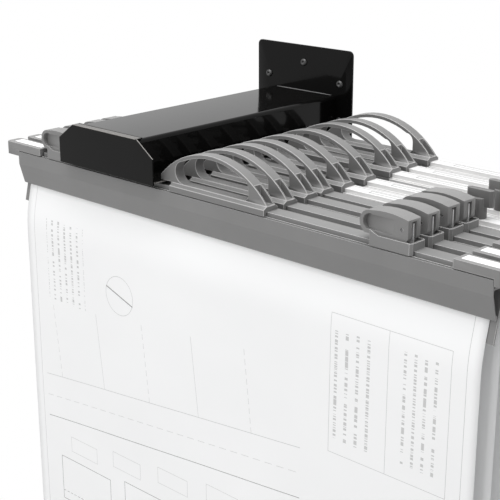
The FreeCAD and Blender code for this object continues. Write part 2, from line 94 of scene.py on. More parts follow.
# an output of a node; operators add Math nodes
class Wire:
    def __init__(self, tree, socket):
        self.tree = tree
        self.socket = socket

    def math(self, operation, other=0.0):
        return self.tree.add("ShaderNodeMath", {"operation": operation}, {0: self, 1: other})

    # the same with the other value first, as in 1 - mask
    def reflected(self, operation, other):
        return self.tree.add("ShaderNodeMath", {"operation": operation}, {0: other, 1: self})

    def __add__(self, other):
        return self.math("ADD", other)

    def __sub__(self, other):
        return self.math("SUBTRACT", other)

    def __mul__(self, other):
        return self.math("MULTIPLY", other)

    def __truediv__(self, other):
        return self.math("DIVIDE", other)

    def __gt__(self, other):
        return self.math("GREATER_THAN", other)

    def __lt__(self, other):
        return self.math("LESS_THAN", other)

    def __rsub__(self, other):
        return self.reflected("SUBTRACT", other)

    def __rtruediv__(self, other):
        return self.reflected("DIVIDE", other)

    def __abs__(self):
        return self.math("ABSOLUTE")

    __radd__ = __add__
    __rmul__ = __mul__

    # another output of the same node
    def output(self, name):
        return Wire(self.tree, self.socket.node.outputs[name])


# the nodes of a material or a world; add() makes any node from its type, settings and socket values
class Tree:
    def __init__(self, owner):
        owner.use_nodes = True
        self.owner = owner
        self.nodes = owner.node_tree.nodes
        self.links = owner.node_tree.links

    def add(self, kind, settings=None, values=None, output=0):
        node = self.nodes.new(kind)
        for key, value in (settings or {}).items():
            setattr(node, key, value)
        for key, value in (values or {}).items():
            self.put(node.inputs[key], value)
        return Wire(self, node.outputs[output])

    # links a socket to a wire, or sets it to a colour or a value
    def put(self, socket, value):
        if isinstance(value, Wire):
            self.links.new(value.socket, socket)
        elif socket.type == "RGBA":
            socket.default_value = (*value, 1)
        else:
            socket.default_value = value

    # sets or links the shader's sockets and hands the material back
    def finish(self, values):
        shader = self.nodes["Principled BSDF"]
        for key, value in values.items():
            self.put(shader.inputs[key], value)
        return self.owner

    def place(self):
        return self.add("ShaderNodeTexCoord", output="Object")

    # a piece's own flat coordinates, from 0 to 1 both ways
    def flat(self):
        return self.add("ShaderNodeUVMap", {"uv_map": "flat"})

    # a vector's X, Y and Z
    def split(self, vector):
        parts = self.add("ShaderNodeSeparateXYZ", values={0: vector})
        return parts, parts.output("Y"), parts.output("Z")

    def stretch(self, vector, scale):
        return self.add("ShaderNodeMapping", values={"Vector": vector, "Scale": scale})

    def noise(self, vector, scale, detail=3.0):
        return self.add("ShaderNodeTexNoise", values={"Vector": vector, "Scale": scale, "Detail": detail})

    # sockets 6 and 7 are the two colours, and output 2 is what they mix to
    def mix(self, factor, a, b):
        return self.add("ShaderNodeMix", {"data_type": "RGBA"}, {0: factor, 6: a, 7: b}, output=2)

    # a grey that wanders to either side of a tone
    def tones(self, factor, tone, spread, warm=0.0):
        return self.mix(factor, grey(tone - spread, warm), grey(tone + spread, warm))

    def bump(self, height, strength, distance):
        values = {"Height": height, "Strength": strength, "Distance": distance}
        return self.add("ShaderNodeBump", values=values)


screenCurve = {"straightTo": 0.04045, "slope": 12.92, "offset": 0.055, "power": 2.4}


# linear colour of a screen grey from 0 to 255, a little warm or cool
def grey(value, warm=0.0):
    c = value / 255
    if c <= screenCurve["straightTo"]:
        linear = c / screenCurve["slope"]
    else:
        linear = ((c + screenCurve["offset"]) / (1 + screenCurve["offset"])) ** screenCurve["power"]
    return (linear * (1 + warm), linear, linear * (1 - warm))


def newMaterial(name):
    return Tree(bpy.data.materials.new(name))


# scales of noise are in waves a metre, depths of bumps in metres
# edge tone: a painted highlight on edges; lip tone: a painted reflection on the front plate's top faces
paintedSteel = {
    "tone": 8, "edgeHighlightTone": 128, "lipReflectionTone": 92, "spread": 4, "warm": 0.04, "cloud": 9.0,
    "rough": 0.07, "edgeRough": 0.3, "roughSpread": 0.05, "ior": 1.23,
    "peel": 420.0, "peelBump": 0.03, "peelDepth": 0.0003,
}


# gloss paint over steel: slight orange peel, faint clouding of tone and gloss
def paintFinish(name, tone, rough):
    t = newMaterial(name)
    place = t.place()
    cloud = t.noise(place, paintedSteel["cloud"])
    peel = t.noise(place, paintedSteel["peel"], detail=2.0)
    return t.finish({
        "Base Color": t.tones(cloud, tone, paintedSteel["spread"], paintedSteel["warm"]),
        "Roughness": cloud * paintedSteel["roughSpread"] + rough,
        "IOR": paintedSteel["ior"],
        "Normal": t.bump(peel, paintedSteel["peelBump"], paintedSteel["peelDepth"]),
    })


# rim tones: lighter bevelled edges, a painted highlight
aluminium = {
    "grey": 124, "clear": 222, "greyRim": 205, "clearRim": 240, "spread": 5, "warm": 0.005, "cloud": 14.0,
    "metal": 0.1, "rough": 0.4, "roughSpread": 0.14,
    "lines": (3.0, 900.0, 900.0), "lineBump": 0.05, "lineDepth": 0.0001,
    "clearDrop": 6.0,  # clear metal starts this far below the jaws' top edge, and right of the handles
}
firstClear = leverClamps + 1
clearX = nodeBox(f"clamp_{firstClear}_handle")[1][0] * mm
clearZ = (clampOrigin(firstClear)[2] - aluminium["clearDrop"]) * mm


# extruded aluminium: die lines along the bar, faint clouds of tone; its own tone only in the clear part
def barFinish(name, tone, greyTone):
    t = newMaterial(name)
    place = t.place()
    lines = t.noise(t.stretch(place, aluminium["lines"]), scale=1.0, detail=2.0)
    cloud = t.noise(place, aluminium["cloud"])
    x, _, z = t.split(place)
    clear = t.tones(cloud, tone, aluminium["spread"], aluminium["warm"])
    dull = t.tones(cloud, greyTone, aluminium["spread"], aluminium["warm"])
    return t.finish({
        "Base Color": t.mix((x > clearX) * (z > clearZ), dull, clear),
        "Metallic": aluminium["metal"],
        "Roughness": lines * aluminium["roughSpread"] + aluminium["rough"],
        "Normal": t.bump(lines, aluminium["lineBump"], aluminium["lineDepth"]),
    })


moulded = {
    "spread": 5, "warm": 0.008, "cloud": 24.0, "roughSpread": 0.1,
    "grain": 1400.0, "grainBump": 0.12, "grainDepth": 0.0002,
}
# rim tones: lighter bevelled edges, a painted highlight
mouldings = {
    "handle": {"tone": 113, "rim": 172, "rough": 0.36},
    "lever": {"tone": 121, "rim": 134, "rough": 0.4},
    "tray": {"tone": 126, "rim": 180, "rough": 0.42},
    "knob": {"tone": 98, "rim": 116, "rough": 0.44},
    "block": {"tone": 126, "rim": 150, "rough": 0.42},
}
# a dark tone for a painted shadow in a seam
seamShadowLook = {"tone": 40, "rough": 0.9}


# satin moulding: fine spark-eroded grain, faint clouds of tone
def mouldedFinish(name, tone, rough):
    t = newMaterial(name)
    place = t.place()
    grain = t.noise(place, moulded["grain"], detail=2.0)
    cloud = t.noise(place, moulded["cloud"])
    return t.finish({
        "Base Color": t.tones(cloud, tone, moulded["spread"], moulded["warm"]),
        "Roughness": grain * moulded["roughSpread"] + rough,
        "Normal": t.bump(grain, moulded["grainBump"], moulded["grainDepth"]),
    })


plated = {"brush": (700.0, 700.0, 60.0), "spread": 14, "rough": 0.28, "roughSpread": 0.15}
plates = {
    "link": {"name": "linkSteel", "tone": 205, "metal": 0.35},
    "pin": {"name": "pinSteel", "tone": 104, "metal": 0.2},
    "sealer": {"name": "sealerBead", "tone": 96, "metal": 0.0},
    "screw": {"name": "screwSteel", "tone": 72, "metal": 0.5},
}


# plated steel, slightly brushed upright; without metal, the mid-grey joint bead, a painted highlight along
# the deck's joint
def plateFinish(name, tone, metal):
    t = newMaterial(name)
    brush = t.noise(t.stretch(t.place(), plated["brush"]), scale=1.0, detail=2.0)
    return t.finish({
        "Base Color": t.tones(brush, tone, plated["spread"]),
        "Metallic": metal,
        "Roughness": brush * plated["roughSpread"] + plated["rough"],
    })


whiteCard = {"tones": (232, 242), "rough": 0.55, "fibre": 600.0, "fibreBump": 0.08, "fibreDepth": 0.0001}


# white card with a paper fibre
def cardFinish(name):
    t = newMaterial(name)
    fibre = t.noise(t.place(), whiteCard["fibre"])
    dark, light = whiteCard["tones"]
    return t.finish({
        "Base Color": t.mix(fibre, grey(dark), grey(light)),
        "Roughness": whiteCard["rough"],
        "Normal": t.bump(fibre, whiteCard["fibreBump"], whiteCard["fibreDepth"]),
    })


finish = {
    "paint": paintFinish("blackPaint", paintedSteel["tone"], paintedSteel["rough"]),
    "paintHighlight": paintFinish("rubbedPaintEdge", paintedSteel["edgeHighlightTone"], paintedSteel["edgeRough"]),
    "lip": paintFinish("rubbedPaintLip", paintedSteel["lipReflectionTone"], paintedSteel["edgeRough"]),
    "greyBar": barFinish("greyAluminium", aluminium["grey"], aluminium["grey"]),
    "greyRim": barFinish("greyAluminiumEdge", aluminium["greyRim"], aluminium["greyRim"]),
    "clearBar": barFinish("clearAluminium", aluminium["clear"], aluminium["grey"]),
    "clearRim": barFinish("clearAluminiumEdge", aluminium["clearRim"], aluminium["greyRim"]),
    "card": cardFinish("whiteCard"),
    "seam": mouldedFinish("seamShadow", seamShadowLook["tone"], seamShadowLook["rough"]),
}
for name, look in plates.items():
    finish[name] = plateFinish(**look)
for name, look in mouldings.items():
    finish[name] = mouldedFinish(f"{name}Moulding", look["tone"], look["rough"])
    # the rim finish is a painted highlight on bevelled edges
    finish[name + "Rim"] = mouldedFinish(f"{name}Edge", look["rim"], look["rough"])
print("finishes made")


# puts new data into the scene as an object at the world's origin
def addObject(name, data):
    obj = bpy.data.objects.new(name, data)
    bpy.context.scene.collection.objects.link(obj)
    return obj


# merges a mesh's points within a distance in millimetres, and turns a closed surface's faces outwards
def weld(mesh, distance, closed=False):
    shape = bmesh.new()
    shape.from_mesh(mesh)
    bmesh.ops.remove_doubles(shape, verts=shape.verts, dist=distance * mm)
    if closed:
        bmesh.ops.recalc_face_normals(shape, faces=shape.faces)
    shape.to_mesh(mesh)
    shape.free()


weldDistance = {"copy": 0.002, "grid": 0.001}


# a copy of a CAD node's mesh with its loose triangles welded
def cleanCopy(node):
    mesh = nodes[node].data.copy()
    weld(mesh, weldDistance["copy"])
    mesh.materials.clear()
    return addObject(node + "_piece", mesh)


# mesh from an array of points (rows, columns, 3) in millimetres; quads turn from row to column
def gridObject(name, points, material, uv=None, closed=False):
    rows, columns = points.shape[:2]
    index = np.arange(rows * columns).reshape(rows, columns)
    corners = [index[:-1, :-1], index[1:, :-1], index[1:, 1:], index[:-1, 1:]]
    quads = np.stack(corners, axis=-1).reshape(-1, 4)
    mesh = bpy.data.meshes.new(name)
    mesh.from_pydata((points.reshape(-1, 3) * mm).tolist(), [], quads.tolist())
    if uv is not None:
        layer = mesh.uv_layers.new(name="flat")
        layer.data.foreach_set("uv", uv.reshape(-1, 2)[quads.reshape(-1)].astype(np.float32).reshape(-1))
    if closed:
        weld(mesh, weldDistance["grid"], closed=True)
    mesh.polygons.foreach_set("use_smooth", np.ones(len(mesh.polygons), dtype=bool))
    mesh.update()
    mesh.materials.append(material)
    return addObject(name, mesh)


# the separate solids of a piece, each an object
def looseSolids(obj):
    before = set(bpy.context.scene.objects)
    bpy.ops.object.select_all(action="DESELECT")
    bpy.context.view_layer.objects.active = obj
    obj.select_set(True)
    bpy.ops.object.mode_set(mode="EDIT")
    bpy.ops.mesh.select_all(action="SELECT")
    bpy.ops.mesh.separate(type="LOOSE")
    bpy.ops.object.mode_set(mode="OBJECT")
    return [obj] + sorted(set(bpy.context.scene.objects) - before, key=lambda solid: solid.name)


# a piece's own points as rows of X, Y and Z, in millimetres
def meshPoints(obj):
    flat = np.empty(len(obj.data.vertices) * 3)
    obj.data.vertices.foreach_get("co", flat)
    return flat.reshape(-1, 3) / mm


# lowest and highest corner of a piece's own mesh, in millimetres
def meshBox(obj):
    points = meshPoints(obj)
    return points.min(axis=0), points.max(axis=0)


# moves a piece's own points by a function that takes and returns them in millimetres
def reshape(obj, move):
    obj.data.vertices.foreach_set("co", (move(meshPoints(obj)) * mm).reshape(-1))
    obj.data.update()


sharpAngle = math.radians(34)  # an edge that turns more is rounded
edgeWidth = {
    "plate": 0.5, "bar": 0.6, "handle": 1.0, "lever": 2.4, "knob": 2.6,
    "block": 0.9, "tray": 1.0, "bolt": 0.4, "pad": 0.5,
}


# a small bevel along every sharp edge, in a second finish that on most pieces is lighter, a painted
# highlight; with rounds, smooth curves and level flats
def roundEdges(obj, width, body, rim, steps=2, rounds=True):
    if rounds:
        obj.data.set_sharp_from_angle(angle=sharpAngle)
    obj.data.polygons.foreach_set("use_smooth", np.full(len(obj.data.polygons), rounds))
    obj.data.materials.append(body)
    obj.data.materials.append(rim)
    bevel = obj.modifiers.new("edges", "BEVEL")
    bevel.width = width * mm
    bevel.segments = steps
    bevel.limit_method = "ANGLE"
    bevel.angle_limit = sharpAngle
    bevel.material = 1
    bevel.harden_normals = rounds
    return obj


# gives a material to the faces that a test picks out by their normals and middles, in millimetres
def paintFaces(obj, material, test):
    faces = obj.data.polygons
    normal = np.empty(len(faces) * 3)
    middle = np.empty(len(faces) * 3)
    faces.foreach_get("normal", normal)
    faces.foreach_get("center", middle)
    chosen = test(normal.reshape(-1, 3), middle.reshape(-1, 3) / mm)
    index = np.empty(len(faces), dtype=np.int32)
    faces.foreach_get("material_index", index)
    index[chosen] = len(obj.data.materials)
    faces.foreach_set("material_index", index)
    obj.data.materials.append(material)


# a piece takes a CAD node's place and rides on a body
def standFor(obj, node, body):
    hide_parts(node)
    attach(obj, body)


facing = {"level": 0.9, "sloped": 0.3}  # least part of a face's normal along an axis
hookEdgeFrom = 90.0  # past this, a face that looks right is the hook flange's edge

# faces with a painted highlight in the light edge paint: the front plate's right chamfer, the channel's cut
# front end and its hook flange's edge
highlightFaces = {
    "front_plate": lambda normal, middle: (
        (normal[:, 2] > facing["sloped"]) & (normal[:, 0] > facing["sloped"])
    ),
    "channel": lambda normal, middle: (
        (normal[:, 1] < -facing["level"]) | ((normal[:, 0] > facing["level"]) & (middle[:, 0] > hookEdgeFrom))
    ),
}
for node in ("wall_plate", "front_plate", "channel"):
    plate = roundEdges(cleanCopy(node), edgeWidth["plate"], finish["paint"], finish["paint"])
    if node in highlightFaces:
        paintFaces(plate, finish["paintHighlight"], highlightFaces[node])
    if node == "front_plate":
        # the front plate's top faces in a lighter paint, a painted reflection
        paintFaces(plate, finish["lip"], lambda normal, middle: normal[:, 2] > facing["level"])
    standFor(plate, node, "rack")


# a ribbon along X, its section a list of (y, z)
def ribbon(name, half, section, material):
    section = np.array(section)
    x = np.array([-half, half])[:, None] + 0 * section[None, :, 0]
    points = np.stack([x, section[None, :, 0] + 0 * x, section[None, :, 1] + 0 * x], axis=-1)
    obj = gridObject(name, points[::-1], material)
    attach(obj, "rack")


# the front plate's folded edge: a bead in the light edge paint along its top front corner as a painted
# highlight of the fold, and a dark ribbon as painted shadow in the seam behind its lip
lipEdge = {"chamfer": 33.0, "bead": 0.9, "turn": 0.3, "seam": 1.6, "lift": 0.15}
frontLow, frontHigh = nodeBox("front_plate")
deckTop = nodeBox("channel")[1][2]
lipHalf = frontHigh[0] - lipEdge["chamfer"]
lipTop = frontHigh[2] + lipEdge["lift"]
lipFront = frontLow[1] - lipEdge["lift"]
lipBack = frontHigh[1] + lipEdge["lift"]
beadSection = [
    (lipFront, lipTop - lipEdge["bead"]),
    (lipFront, lipTop - lipEdge["turn"]),
    (lipFront + lipEdge["turn"], lipTop),
    (lipFront + lipEdge["bead"], lipTop),
]
seamSection = [(frontHigh[1] - lipEdge["seam"], lipTop), (lipBack, lipTop), (lipBack, deckTop)]
ribbon("lipBead", lipHalf, beadSection, finish["paintHighlight"])
ribbon("lipSeam", lipHalf, seamSection, finish["seam"])
print("rack dressed")


longerThan = {"bar": 800, "block": 80, "tray": 50, "pad": 13}
padHeight = 10


# kind, finishes and slot of a rail node's solid, by its length along the clamp and its height
def railPiece(obj, metal):
    low, high = meshBox(obj)
    length, _, height = high - low
    if length > longerThan["bar"]:
        return "bar", finish[metal + "Bar"], finish[metal + "Rim"], "rail_aluminium"
    if length > longerThan["block"]:
        return "block", finish["block"], finish["blockRim"], "handle_plastic"
    if length > longerThan["tray"]:
        return "tray", finish["tray"], finish["trayRim"], "lever_plastic"
    if length > longerThan["pad"] and height < padHeight:
        return "pad", finish["block"], finish["blockRim"], "handle_plastic"
    return "bolt", finish["link"], finish["link"], "screw_steel"


linkShape = {
    "middle": 16.0, "halfWidth": 2.5, "rightOf": 2.0, "above": 0.0, "reach": 3.2,
    "taperFrom": 28.0, "taper": 0.35, "pinFrom": 3.5,
}


# under a lever: the link's right face comes out to the fork's end, its top narrows, its pin's ends are dull
def dressBolt(obj, k):
    y0, z0 = clampOrigin(k)[1:]
    low, high = meshBox(obj)
    centre = (low[0] + high[0]) / 2

    def bringOut(points):
        across = points[:, 1] - y0 - linkShape["middle"]
        height = points[:, 2] - z0
        inLink = np.abs(across) < linkShape["halfWidth"]
        front = inLink & (height > linkShape["above"]) & (points[:, 0] > centre + linkShape["rightOf"])
        narrow = inLink & (height > linkShape["taperFrom"])
        points[front, 0] += linkShape["reach"]
        points[narrow, 1] -= across[narrow] * linkShape["taper"]
        return points

    def pinEnd(normal, middle):
        return np.abs(middle[:, 1] - y0 - linkShape["middle"]) > linkShape["pinFrom"]

    reshape(obj, bringOut)
    paintFaces(obj, finish["pin"], pinEnd)


dishShape = {"depth": 3.0, "within": 0.05, "left": 5.0, "right": 51.0, "shallow": 2.9, "deep": 4.0}


# a lever's dish slopes from deep at the nose to flush at its square end
def scoop(low):
    def slope(points):
        floor = np.abs(points[:, 1] - low[1] - dishShape["depth"]) < dishShape["within"]
        share = (points[:, 0] - low[0] - dishShape["left"]) / (dishShape["right"] - dishShape["left"])
        shift = dishShape["deep"] - share * (dishShape["deep"] + dishShape["shallow"])
        points[:, 1] += np.where(floor, np.clip(shift, -dishShape["shallow"], None), 0)
        return points

    return slope


leverEdges = {
    "top": 1.0, "plain": 0.5, "slot": 0.22,  # shares of the bevel's width
    "belly": 14.0, "rise": 12.0, "middle": 12.0, "slotHalf": 5.0,
}


# bevel weights of a lever's sharp edges: full along the domed top, less elsewhere, least in the fork's slot
def weighEdges(obj, low):
    middleY = low[1] + leverEdges["middle"]
    topZ = low[2] + leverEdges["belly"] + leverEdges["rise"]
    shape = bmesh.new()
    shape.from_mesh(obj.data)
    layer = shape.edges.layers.float.new("bevel_weight_edge")
    for edge in shape.edges:
        if len(edge.link_faces) == 2 and edge.calc_face_angle() > sharpAngle:
            if all(v.co.z / mm > topZ for v in edge.verts):
                edge[layer] = leverEdges["top"]
            elif all(abs(v.co.y / mm - middleY) < leverEdges["slotHalf"] for v in edge.verts):
                edge[layer] = leverEdges["slot"]
            else:
                edge[layer] = leverEdges["plain"]
    shape.to_mesh(obj.data)
    shape.free()


for k in clampNumbers:
    body = f"clamp_{k}"
    metal, kind = ("grey", "lever") if k <= leverClamps else ("clear", "knob")
    for number, piece in enumerate(looseSolids(cleanCopy(f"clamp_{k}_rail"))):
        part, main, rim, slot = railPiece(piece, metal)
        piece.name = f"clamp{k}_{part}{number}"
        roundEdges(piece, edgeWidth[part], main, rim, rounds=part != "bar")
        if part == "bolt" and kind == "lever":
            dressBolt(piece, k)
        standFor(piece, f"clamp_{k}_rail", body)
    jaw = cleanCopy(f"clamp_{k}_jaw")
    roundEdges(jaw, edgeWidth["bar"], finish[metal + "Bar"], finish[metal + "Rim"], rounds=False)
    standFor(jaw, f"clamp_{k}_jaw", f"clamp_{k}_jaw")
    handle = cleanCopy(f"clamp_{k}_handle")
    roundEdges(handle, edgeWidth["handle"], finish["handle"], finish["handleRim"], steps=3)
    standFor(handle, f"clamp_{k}_handle", body)
    for side in ("left", "right"):
        node = f"clamp_{k}_{side}_{kind}"
        grip = cleanCopy(node)
        if kind == "lever":
            low = nodeBox(node)[0]
            reshape(grip, scoop(low))
            weighEdges(grip, low)
        roundEdges(grip, edgeWidth[kind], finish[kind], finish[kind + "Rim"], steps=3)
        if kind == "lever":
            grip.modifiers["edges"].limit_method = "WEIGHT"
        standFor(grip, node, node)
print("clamps dressed")


screwShape = {
    "head": 6.0, "rise": 3.2, "domeFrom": 0.55, "domeRings": 7, "sides": 48,
    "socket": 2.1, "socketDepth": 1.8, "socketFoot": 0.98, "socketMouth": 1.12, "mouthDepth": 0.2,
    "neck": 2.9, "reach": 25.0, "pitch": 1.6, "thread": 0.32, "threadFrom": 0.4, "threadRings": 90,
    "pointFrom": 3.0,
    "point": ((0.62, 1.2), (0.25, 0.2), (0.0, 0.0)),  # share of the neck, distance to the end
}


# one screw as rings round its axis: hexagon socket, domed head, neck, thread as a slanted wave, point
def screwPoints(x, z, faceY):
    s = screwShape
    angle = np.linspace(0, 2 * np.pi, s["sides"] + 1)[None, :]
    hexagon = s["socket"] / np.cos((angle + np.pi / 6) % (np.pi / 3) - np.pi / 6)
    circle = np.ones_like(angle)
    floor = s["socketDepth"] - s["rise"]
    rings = [
        (0 * hexagon, floor), (hexagon * s["socketFoot"], floor),
        (hexagon, -s["rise"] + s["mouthDepth"]), (hexagon * s["socketMouth"], -s["rise"]),
    ]
    bend = np.linspace(s["domeFrom"], 1.0, s["domeRings"]) * np.pi / 2
    rings += [(s["head"] * math.sin(b) * circle, -s["rise"] * math.cos(b) / math.cos(bend[0])) for b in bend]
    rings += [(s["head"] * circle, 0.0), (s["neck"] * circle, 0.0), (s["neck"] * circle, -faceY)]
    radius = [r for r, _ in rings]
    along = [np.full_like(angle, y + faceY) for _, y in rings]
    run = np.linspace(s["threadFrom"], s["reach"] - s["pointFrom"], s["threadRings"])[:, None]
    wave = np.abs(((run / s["pitch"] - angle / (2 * np.pi)) % 1.0) * 2 - 1)
    radius.append(s["neck"] - s["thread"] * wave)
    along.append(run + 0 * angle)
    for share, before in s["point"]:
        radius.append(s["neck"] * share * circle)
        along.append(np.full_like(angle, s["reach"] - before))
    r = np.vstack(radius)
    y = np.vstack(along)
    return np.stack([x + r * np.cos(angle), y, z + r * np.sin(angle)], axis=-1)


# where the heads stand, from the CAD screws' box: two rows of two, and one above in the middle
screwPattern = {"cornerRadius": 6.2, "rowSpan": 60.0}
screwLow, screwHigh = nodeBox("wall_screws")
plateFace = nodeBox("wall_plate")[0][1]
topScrewZ = screwHigh[2] - screwPattern["cornerRadius"]
columnHalf = (screwHigh[0] - screwLow[0]) / 2 - screwPattern["cornerRadius"]
rowHalf = screwPattern["rowSpan"] / 2
screwPlaces = [(sx * columnHalf, sz * rowHalf) for sx in (-1, 1) for sz in (-1, 1)] + [(0.0, topScrewZ)]
for number, (x, z) in enumerate(screwPlaces, 1):
    screw = gridObject(f"wallScrew{number}", screwPoints(x, z, plateFace), finish["screw"], closed=True)
    standFor(screw, "wall_screws", "rack")
print("screws turned")


cardShape = {"points": 41, "inner": 0.6, "shoulder": 0.75, "nearZero": 1e-9}


# flat card with rounded corners: rings from the middle of its top out to the rim, round it and under
def cardPoints(low, high, thickness, corner):
    middle = (np.array(low) + np.array(high)) / 2
    half = (np.array(high) - np.array(low)) / 2 - corner
    turn = np.linspace(0, 2 * np.pi, cardShape["points"])
    outward = np.stack([np.cos(turn), np.sin(turn)], axis=-1)
    before = np.roll(outward, 1, axis=0)
    side = np.sign(np.where(np.abs(outward) < cardShape["nearZero"], before, outward))
    rim = side * half + outward * corner
    inner = side * half + outward * (corner * cardShape["inner"])
    centre = rim * 0
    rings = [(centre, 1.0), (inner, 1.0), (rim, cardShape["shoulder"]), (rim, 0.0), (centre, 0.0)]
    heights = [np.full(len(turn), level * thickness) for _, level in rings]
    return np.array([np.column_stack([ring + middle, z]) for (ring, _), z in zip(rings, heights)])


# lays a card on a clamp between two corners; a printed one gets its own flat coordinates
def layCard(name, k, shape, low, high, material, printed=False):
    points = cardPoints(low, high, shape["thickness"], shape["corner"])
    flat = (points[..., :2] - np.array(low)) / (np.array(high) - np.array(low)) if printed else None
    points[..., 2] += shape["level"]
    card = gridObject(name, points + clampOrigin(k), material, flat, closed=True)
    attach(card, f"clamp_{k}")


# a blank white card on both end blocks of every clamp
labelShape = {"reach": (-18.0, 48.0), "depth": (7.5, 22.5), "level": 12.5, "thickness": 0.35, "corner": 1.5}
clampLength = nodeBox("clamp_1_jaw")[1][0] - nodeBox("clamp_1_jaw")[0][0]
for k in clampNumbers:
    for side, mirror, end in (("left", 1, 0.0), ("right", -1, clampLength)):
        reach = sorted(mirror * np.array(labelShape["reach"]) + end)
        low, high = zip(reach, labelShape["depth"])
        layCard(f"{side}Label{k}", k, labelShape, low, high, finish["card"])


dashShare = 0.62
entryShape = {"bar": 0.28, "rowStep": 3.7, "grain": 0.32, "gap": 0.5}


# ink mask of one straight stroke between two points on the sheet, dashed where asked
def stroke(x, y, ends, width, dash=0.0):
    start, end = ends
    length = math.dist(start, end)
    dx = (end[0] - start[0]) / length
    dy = (end[1] - start[1]) / length
    along = (x - start[0]) * dx + (y - start[1]) * dy
    across = (y - start[1]) * dx - (x - start[0]) * dy
    mask = (abs(across) < width / 2) * (abs(along - length / 2) < length / 2)
    if dash:
        mask = mask * (along.math("FLOORED_MODULO", dash) < dash * dashShare)
    return mask


# ink mask of a rectangle's outline about its middle
def outline(x, y, middle, size, width):
    edge = (abs(x - middle[0]) - size[0] / 2).math("MAXIMUM", abs(y - middle[1]) - size[1] / 2)
    return abs(edge) < width / 2


# ink mask of a ring about its middle
def ring(x, y, middle, radius, width):
    away = ((x - middle[0]) * (x - middle[0]) + (y - middle[1]) * (y - middle[1])).math("SQRT")
    return abs(away - radius) < width / 2


# ink mask of ruled entries: short broken bars inside a box, in rows across it
def entries(t, x, y, middle, size, pitch):
    inside = (abs(x - middle[0]) < size[0] / 2) * (abs(y - middle[1]) < size[1] / 2)
    rows = x.math("FLOORED_MODULO", pitch) < pitch * entryShape["bar"]
    row = (x / pitch).math("FLOOR")
    speck = t.add("ShaderNodeCombineXYZ", values={0: row * entryShape["rowStep"], 1: y * entryShape["grain"]})
    broken = t.noise(speck, scale=1.0, detail=1.0) > entryShape["gap"]
    return inside * rows * broken


# the union of ink masks
def strongest(masks):
    total = masks[0]
    for mask in masks[1:]:
        total = total.math("MAXIMUM", mask)
    return total


indexShape = {"reach": (522.0, 801.0), "depth": (8.6, 28.6), "level": 6.0, "thickness": 0.22, "corner": 2.5}
indexInk = {
    "middle": (105.0, 8.0), "size": (144.0, 7.2), "line": 1.8, "hairY": 15.4, "hair": 1.4,
    "ink": 96, "share": 0.8, "tones": (208, 218), "rough": 0.5,
}


# white index card: a thin ruled frame and a hairline along its side, in the card's own millimetres
def indexFinish():
    t = newMaterial("indexCard")
    fibre = t.noise(t.place(), whiteCard["fibre"])
    x, y, _ = t.split(t.flat())
    x = x * (indexShape["reach"][1] - indexShape["reach"][0])
    y = y * (indexShape["depth"][1] - indexShape["depth"][0])
    ruled = outline(x, y, indexInk["middle"], indexInk["size"], indexInk["line"])
    hair = abs(y - indexInk["hairY"]) < indexInk["hair"] / 2
    dark, light = indexInk["tones"]
    card = t.mix(fibre, grey(dark), grey(light))
    ink = strongest([ruled, hair]) * indexInk["share"]
    return t.finish({"Base Color": t.mix(ink, card, grey(indexInk["ink"])), "Roughness": indexInk["rough"]})


finish["index"] = indexFinish()
for k in clampNumbers[leverClamps:]:
    low, high = zip(indexShape["reach"], indexShape["depth"])
    layCard(f"indexCard{k}", k, indexShape, low, high, finish["index"], printed=True)
print("labels laid")


# bead where the deck meets the wall plate, mid grey as a painted highlight along the joint: a quarter round
# carried along X, thinner at its ends
sealer = {"half": 59.0, "radius": 0.9, "steps": 7, "stations": 9, "thinning": 0.5, "power": 6}
angles = np.linspace(0, np.pi / 2, sealer["steps"])[:, None]
along = np.linspace(-1, 1, sealer["stations"])[None, :]
radius = sealer["radius"] * (1 - sealer["thinning"] * np.abs(along) ** sealer["power"])
beadX = sealer["half"] * along + 0 * angles
beadY = plateFace - radius * np.cos(angles)
beadZ = deckTop + radius * np.sin(angles)
beadPoints = np.stack([beadX, beadY, beadZ], axis=-1)
bead = gridObject("deckSealer", beadPoints[:, ::-1], finish["sealer"])
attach(bead, "rack")


# the rail's face that a sheet lies on, in the clamp's own Y and Z: down its web to the knee, then to the foot
hang = {
    "webTopY": 27.4, "webDrop": 53.5, "kneeY": 14.4, "kneeZ": -50.5, "footY": 7.7, "footZ": -79.2,
    "tuck": 20.0, "bend": 190.0,
}


# Y and Z at a length down the sheet: straight in the jaw, off the leg, round a wide bend, then plumb
def hangLine(s):
    webLean = math.atan2(hang["webTopY"] - hang["kneeY"], hang["webDrop"])
    legY = hang["kneeY"] - hang["footY"]
    legZ = hang["kneeZ"] - hang["footZ"]
    leg = math.hypot(legY, legZ)
    lean = math.atan2(legY, legZ)
    bendFrom = hang["tuck"] + leg
    bendTo = bendFrom + hang["bend"] * lean
    startY = hang["kneeY"] + hang["tuck"] * math.sin(webLean)
    startZ = hang["kneeZ"] + hang["tuck"] * math.cos(webLean)
    first = np.clip(s, 0, hang["tuck"])
    second = np.clip(s - hang["tuck"], 0, leg)
    turn = np.clip((s - bendFrom) / hang["bend"], 0, lean)
    past = np.clip(s - bendTo, 0, None)
    y = startY - first * math.sin(webLean) - second * math.sin(lean)
    z = startZ - first * math.cos(webLean) - second * math.cos(lean)
    y = y - hang["bend"] * (np.cos(lean - turn) - math.cos(lean))
    z = z - hang["bend"] * (math.sin(lean) - np.sin(lean - turn)) - past
    return y, z


sheetSize = {"width": 841.0, "height": 594.0, "columns": 73, "rows": 61, "thickness": 0.5}
ripple = {
    "slow": (1.6, 1.2), "quick": (0.8, 2.7),  # height, and number of waves across the sheet
    "from": 60.0, "growth": 1.3, "swing": 2.0, "drift": 2.0, "inset": 0.9, "phase": 6.28, "seed": 40,
}


